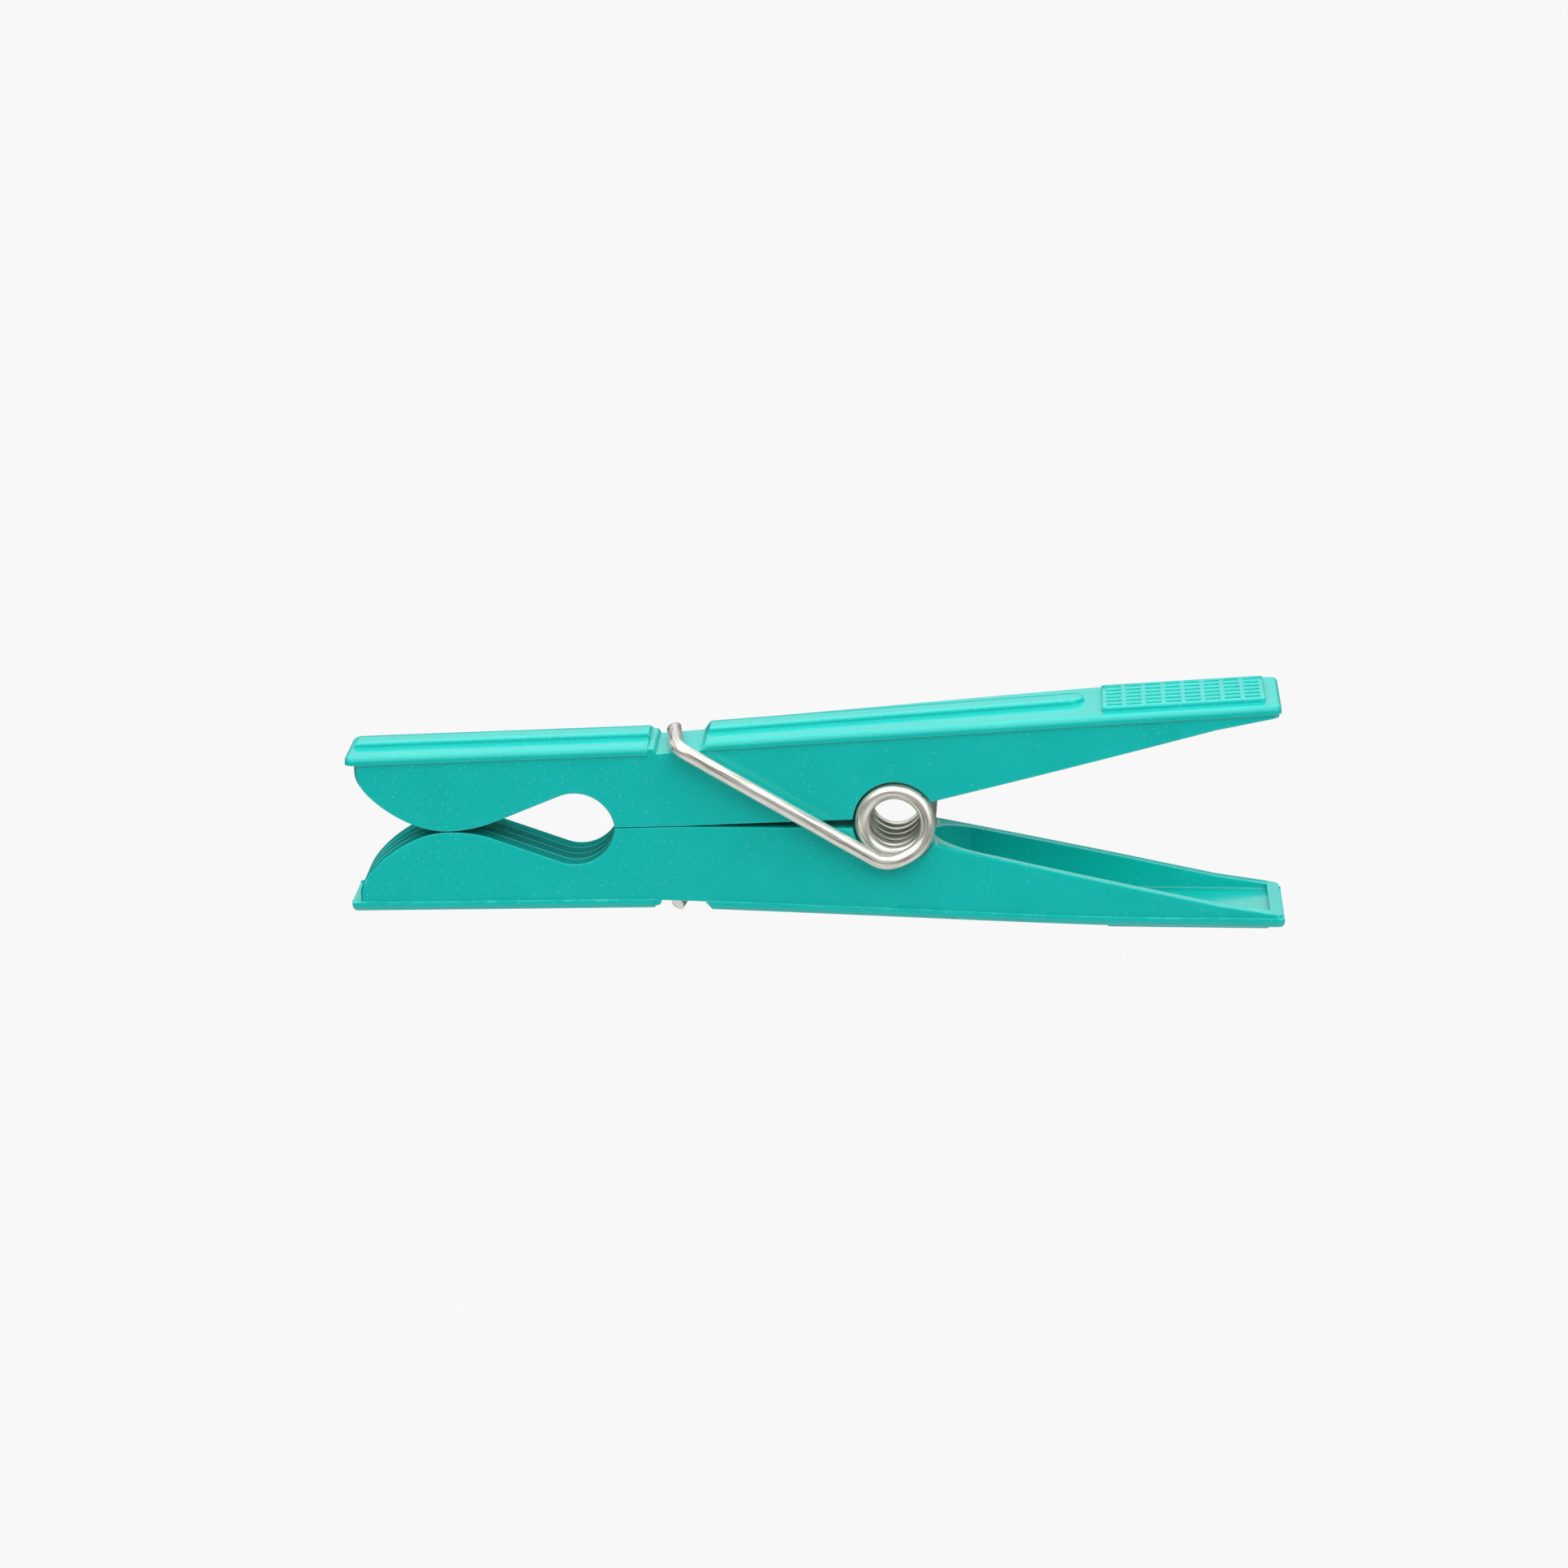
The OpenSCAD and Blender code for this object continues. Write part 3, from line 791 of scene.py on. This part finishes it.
def plain_mesh(piece, name):
    """The piece's evaluated result as a plain mesh object, in place of the piece."""
    bpy.context.view_layer.update()
    graph = bpy.context.evaluated_depsgraph_get()
    evaluated = piece.evaluated_get(graph)
    mesh = bpy.data.meshes.new_from_object(
        evaluated, preserve_all_data_layers=True, depsgraph=graph
    )
    mesh.name = name
    made = add_object(name, mesh)
    bpy.data.objects.remove(piece)
    return made


def even_walls(mesh):
    """Side walls are one smooth sweep, so their corners take the sweep's own normal."""
    normals = np.zeros(3 * len(mesh.loops))
    mesh.corner_normals.foreach_get("vector", normals)
    normals = normals.reshape(-1, 3)
    for face in mesh.polygons:
        if abs(face.normal.y) > WALL_FACING:
            for corner in face.loop_indices:
                x = mesh.vertices[mesh.loops[corner].vertex_index].co.x
                x = (x - hinge["pos_m"][0]) / MM
                slope = (half_w(x + SLOPE_STEP) - half_w(x - SLOPE_STEP)) / (2 * SLOPE_STEP)
                way = Vector((-slope, math.copysign(1, face.normal.y), 0)).normalized()
                normals[corner] = way
    mesh.normals_split_custom_set(normals.tolist())


def give_grooves_painted_shade(mesh):
    """The gripping surface, from the nose to the end of the line hole, gets its own finish of
    painted shade and highlights.
    """
    mesh.materials.append(grooves)
    c, s = math.cos(REST_TILT), math.sin(REST_TILT)
    px, _, pz = hinge["pos_m"]
    for face in mesh.polygons:
        dx, dz = (face.center.x - px) / MM, (face.center.z - pz) / MM
        x, z = dx * c + dz * s, dz * c - dx * s
        inner = abs(z) < ledge(x) - 0.2 and abs(face.center.y) < MM * (web_half(x) - 0.02)
        if NOSE_X + 0.02 < x < GROOVES_END and inner and abs(face.normal.y) < 0.9:
            face.material_index = len(mesh.materials) - 1


# %% Press the pockets into both levers
def press_pockets(lever, name, tree, turned):
    """The lever with its pad's pockets, smooth side walls and painted shade in its grooves."""
    middle = (PAD_START + PAD_END) / 2
    height = ledge(middle) + FLANGE_T + PAD_H
    place = stand(middle, 0, height, turned)
    along = (stand(middle + 1, 0, height + REST_SLOPE, turned) - place).normalized()
    across = Vector((0, -1 if turned else 1, 0))
    turn = Matrix((along, across, along.cross(across))).transposed().to_euler()
    modifier = lever.modifiers.new("pockets", "NODES")
    modifier.node_group = tree
    set_inputs(
        modifier, columns=COLUMNS, rows=ROWS, length=MM * POCKET_L, width=MM * POCKET_W,
        rib_along=MM * RIB_L, rib_across=MM * RIB_W, depth=MM * POCKET_DEPTH,
        place=place, turn=Vector(turn), finish=plastic,
    )
    weighted = lever.modifiers.new("weighted_normals", "WEIGHTED_NORMAL")
    weighted.keep_sharp = True
    made = plain_mesh(lever, name)
    even_walls(made.data)
    give_grooves_painted_shade(made.data)
    print(name, "has", len(made.data.polygons), "faces after the pockets")
    return made


pockets = pocket_tree()
for shell in (upper, lower):
    shell.data.polygons.foreach_set("use_smooth", [True] * len(shell.data.polygons))
upper = press_pockets(upper, "upper_lever_moulding", pockets, False)
lower = press_pockets(lower, "lower_lever_moulding", pockets, True)
for lever, body in ((upper, "upper"), (lower, "lower")):
    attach(lever, body)
    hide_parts(body + "_lever")

# %% [markdown]
# ## The torsion spring
#
# The spring is one length of round wire: a hook over the upper lever, a straight arm, the
# coil between the levers, and a second arm and hook turned half a turn. It follows a path,
# so Geometry Nodes make it: the script lays the path's points, and the tree sweeps a round
# section along them. It also stores how far along the wire each point lies and where it
# lies round it, which the finish needs for its fine drawing lines.

# %% Path of the wire
WIRE_R, COIL_R, ARM_Y, HOOK_Y = 0.6, 2.64, 5.4, 4.85
HOOK_X, HOOK_L, HOOK_LEAN, BEND_R = 17.2, 6.9, math.radians(5), 1.1
FLARE, FLARE_TURN = 0.45, math.radians(60)
WHOLE_TURNS, STEPS_PER_TURN, WIRE_SIDES, HOOK_GAP = 5, 56, 24, 0.04


def wire_path():
    """Points along the middle of the wire, from the upper hook's end to the lower one's."""
    hook_z = ledge(-HOOK_X) + WIRE_R + HOOK_GAP
    slope = math.atan2(hook_z, HOOK_X) + math.asin((COIL_R + FLARE) / math.hypot(HOOK_X, hook_z))
    start = -math.pi / 2 - slope
    turn = 2 * math.pi * WHOLE_TURNS - 2 * start
    corner = Vector((-HOOK_X, -HOOK_Y, hook_z))
    hook = Vector((math.sin(HOOK_LEAN), -math.cos(HOOK_LEAN), 0))

    def wire_at(a):
        """The middle of the wire after a turn by a; the coil's ends run out into the arms."""
        end = min(1, a / FLARE_TURN, (turn - a) / FLARE_TURN)
        r = COIL_R + FLARE * (1 + math.cos(math.pi * end)) / 2
        y = ARM_Y * (2 * a / turn - 1)
        return Vector((r * math.cos(start + a), y, r * math.sin(start + a)))

    coil_start = wire_at(0)
    arm = (coil_start - corner).normalized()
    points = [corner - hook * (HOOK_L - 1.4 * k) for k in (0, 1, 2, 3)]
    for a in np.linspace(0, math.pi / 2, 12):
        points.append(corner + BEND_R * ((1 - math.cos(a)) * arm - (1 - math.sin(a)) * hook))
    bend_end = points[-1]
    points += [bend_end.lerp(coil_start, t) for t in np.linspace(0.05, 0.95, 19)]
    count = round(turn / (2 * math.pi) * STEPS_PER_TURN)
    coil = [wire_at(turn * i / count) for i in range(count + 1)]
    far = [Vector((p[0], -p[1], -p[2])) for p in reversed(points)]
    print("Coil turns:", round(turn / (2 * math.pi), 3))
    return points + coil + far


# %% Tree that sweeps the wire
def wire_tree():
    """Sweeps a round wire along a path."""
    tree = bpy.data.node_groups.new("drawn_wire", "GeometryNodeTree")
    add_socket(tree, "Path", "NodeSocketGeometry")
    add_socket(tree, "Radius", "NodeSocketFloat", 0.0006)
    add_socket(tree, "Sides", "NodeSocketInt", WIRE_SIDES)
    add_socket(tree, "Finish", "NodeSocketMaterial")
    add_socket(tree, "Wire", "NodeSocketGeometry", output=True)
    new, link = tree.nodes.new, tree.links.new
    given, result = new("NodeGroupInput"), new("NodeGroupOutput")
    to_curve, section = new("GeometryNodeMeshToCurve"), new("GeometryNodeCurvePrimitiveCircle")
    along, round_it = new("GeometryNodeStoreNamedAttribute"), new("GeometryNodeStoreNamedAttribute")
    length, place = new("GeometryNodeSplineParameter"), new("GeometryNodeSplineParameter")
    sweep = new("GeometryNodeCurveToMesh")
    real, finish = new("GeometryNodeRealizeInstances"), new("GeometryNodeSetMaterial")
    for store, name in ((along, "along"), (round_it, "around")):
        store.data_type, store.domain = "FLOAT", "POINT"
        store.inputs["Name"].default_value = name
    sweep.inputs["Fill Caps"].default_value = True
    link(given.outputs["Path"], to_curve.inputs["Mesh"])
    link(to_curve.outputs["Curve"], along.inputs["Geometry"])
    link(length.outputs["Length"], along.inputs["Value"])
    link(given.outputs["Sides"], section.inputs["Resolution"])
    link(given.outputs["Radius"], section.inputs["Radius"])
    link(section.outputs["Curve"], round_it.inputs["Geometry"])
    link(place.outputs["Factor"], round_it.inputs["Value"])
    link(along.outputs["Geometry"], sweep.inputs["Curve"])
    link(round_it.outputs["Geometry"], sweep.inputs["Profile Curve"])
    link(sweep.outputs["Mesh"], real.inputs["Geometry"])
    link(real.outputs["Geometry"], finish.inputs["Geometry"])
    link(given.outputs["Finish"], finish.inputs["Material"])
    link(finish.outputs["Geometry"], result.inputs["Wire"])
    return tree


# %% Make the spring
SHEAR_X, SHEAR_Y, SHEAR_Z = -0.62, 0.55, 0.56


def spring(name):
    """The whole spring: its path, the sweep and the two slanted ends."""
    points = [stand(*p) for p in wire_path()]
    mesh = bpy.data.meshes.new("wire_path")
    mesh.from_pydata(points, [(i, i + 1) for i in range(len(points) - 1)], [])
    path = add_object("wire_path", mesh)
    modifier = path.modifiers.new("wire", "NODES")
    modifier.node_group = wire_tree()
    set_inputs(modifier, radius=MM * WIRE_R, sides=WIRE_SIDES, finish=steel)
    made = plain_mesh(path, name)
    for end, inner, lean in ((points[0], points[1], 1), (points[-1], points[-2], -1)):
        shear_end(made.data, end, (end - inner).normalized(), lean)
    print(name, "has", len(made.data.polygons), "faces")
    return made


def shear_end(mesh, end, out, lean):
    """Slants the wire's end face, as a shear leaves it: it looks out, to the jaw and away."""
    face = Vector((SHEAR_X, SHEAR_Y * lean, SHEAR_Z * lean)).normalized()
    for vertex in mesh.vertices:
        offset = vertex.co - end
        if abs(offset.dot(out)) < 1e-6 and offset.length < 1.1 * MM * WIRE_R:
            vertex.co -= out * (offset.dot(face) / face.dot(out))


torsion_spring = spring("wire_spring")
for face in torsion_spring.data.polygons:
    face.use_smooth = True
torsion_spring.data.set_sharp_from_angle(angle=math.radians(40))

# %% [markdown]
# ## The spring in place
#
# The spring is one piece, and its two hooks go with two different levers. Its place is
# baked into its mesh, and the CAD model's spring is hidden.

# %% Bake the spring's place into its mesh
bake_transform(torsion_spring)
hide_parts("torsion_spring")

# %% [markdown]
# ## Floor, light and camera
#
# The peg is shown on a plain white sheet, in soft light from above. What the camera sees of
# the sheet is even. The room in front of the peg is dim, so its upright faces keep their
# colour, and the room above and behind is bright, which puts a pale sheen on its top faces.

# %% Floor
BACKGROUND = 0.939
FLOOR_GLOW, STEEP_GLOW = 0.1, 0.85
FLOOR_REACH, FLOOR_GAP = 3.0, 0.00005


def even_for_camera(tree, kind, other, output):
    """The camera sees an even background, and all else sees the other shader."""
    seen = add_node(tree, kind, set={"Color": (1, 1, 1, 1), "Strength": BACKGROUND})
    mix = add_node(tree, "ShaderNodeMixShader")
    light_path = add_node(tree, "ShaderNodeLightPath")
    tree.links.new(light_path.outputs["Is Camera Ray"], mix.inputs[0])
    tree.links.new(other.outputs[0], mix.inputs[1])
    tree.links.new(seen.outputs[0], mix.inputs[2])
    tree.links.new(mix.outputs[0], output.inputs["Surface"])


def floor():
    """A white sheet that glows evenly, so no shadow shows on it."""
    mesh = bpy.data.meshes.new("floor")
    turns = (-1, -1), (1, -1), (1, 1), (-1, 1)
    mesh.from_pydata([(FLOOR_REACH * a, FLOOR_REACH * b, 0) for a, b in turns], [], [(0, 1, 2, 3)])
    sheet = add_object("floor", mesh)
    sheet.location.z = -FLOOR_GAP
    material = bpy.data.materials.new("white_sheet")
    material.use_nodes = True
    tree = material.node_tree
    tree.nodes.remove(tree.nodes["Principled BSDF"])
    steep = add_node(tree, "ShaderNodeSeparateXYZ")
    tree.links.new(add_node(tree, "ShaderNodeNewGeometry").outputs["Incoming"], steep.inputs[0])
    share = ramp_up(tree, steep.outputs["Z"], 0.3, 4.0)
    light = calculate(tree, "MULTIPLY", share, STEEP_GLOW - FLOOR_GLOW)
    glow = add_node(tree, "ShaderNodeEmission", set={"Color": (1, 1, 1, 1)})
    tree.links.new(calculate(tree, "ADD", light, FLOOR_GLOW), glow.inputs["Strength"])
    even_for_camera(tree, "ShaderNodeEmission", glow, tree.nodes["Material Output"])
    mesh.materials.append(material)


floor()


# %% Room
ROOM_BRIGHT, ROOM_DIM = 0.95, 0.08


def room():
    """Even background for the camera; for all else a dim front and a bright top and back."""
    world = bpy.data.worlds.new("room")
    bpy.context.scene.world = world
    world.use_nodes = True
    tree = world.node_tree
    tree.nodes.remove(tree.nodes["Background"])
    way = add_node(tree, "ShaderNodeSeparateXYZ")
    tree.links.new(add_node(tree, "ShaderNodeTexCoord").outputs["Generated"], way.inputs[0])
    high = ramp_up(tree, way.outputs["Z"], 0.3, 3.0)
    above = ramp_up(tree, way.outputs["Z"], 0.19, 22.0)
    behind = ramp_up(tree, way.outputs["Y"], -0.1, 2.0)
    bright = calculate(tree, "MAXIMUM", high, calculate(tree, "MULTIPLY", above, behind))
    lit = calculate(tree, "MULTIPLY", bright, ROOM_BRIGHT)
    strength = calculate(tree, "ADD", lit, ROOM_DIM)
    around = add_node(tree, "ShaderNodeBackground", set={"Color": (1, 1, 1, 1)})
    tree.links.new(strength, around.inputs["Strength"])
    even_for_camera(tree, "ShaderNodeBackground", around, tree.nodes["World Output"])


room()


# %% Lamps
def soft_lamp(name, place, size, energy):
    """A square lamp that faces the peg."""
    light = bpy.data.lights.new(name, "AREA")
    light.size, light.energy = size, energy
    lamp = add_object(name, light)
    lamp.location = place
    lamp.rotation_mode = "QUATERNION"
    lamp.rotation_quaternion = Vector(place).to_track_quat("Z", "Y")


for name, place, size, energy in (
    ("key_lamp", (-0.3, -0.5, 0.6), 1.0, 3.0),
    ("top_lamp", (0.0, 0.1, 0.8), 0.8, 2.0),
    ("fill_lamp", (0.6, -0.6, 0.4), 0.8, 2.6),
):
    soft_lamp(name, place, size, energy)


# %% Camera
CAMERA_PLACE = Vector((17.47, -464.51, 126.59)) * MM
YAW, PITCH, ROLL = (math.radians(v) for v in (2.47, 14.019, 0.034))
SENSOR, LENS, NEAREST, FARTHEST = 36, 136.62, 0.01, 20


def camera():
    """A long lens in front of the peg, looking slightly down."""
    flat = math.cos(PITCH)
    ahead = Vector((-math.sin(YAW) * flat, math.cos(YAW) * flat, -math.sin(PITCH)))
    right = ahead.cross(Vector((0, 0, 1))).normalized()
    up = right.cross(ahead)
    c, s = math.cos(ROLL), math.sin(ROLL)
    right, up = right * c + up * s, up * c - right * s
    data = bpy.data.cameras.new("camera")
    data.sensor_width, data.lens = SENSOR, LENS
    data.clip_start, data.clip_end = NEAREST, FARTHEST
    made = add_object("camera", data)
    turn = Matrix((right, up, -ahead)).transposed().to_4x4()
    turn.translation = CAMERA_PLACE
    made.matrix_world = turn
    bpy.context.scene.camera = made


camera()
bpy.context.scene.view_settings.view_transform = "Standard"
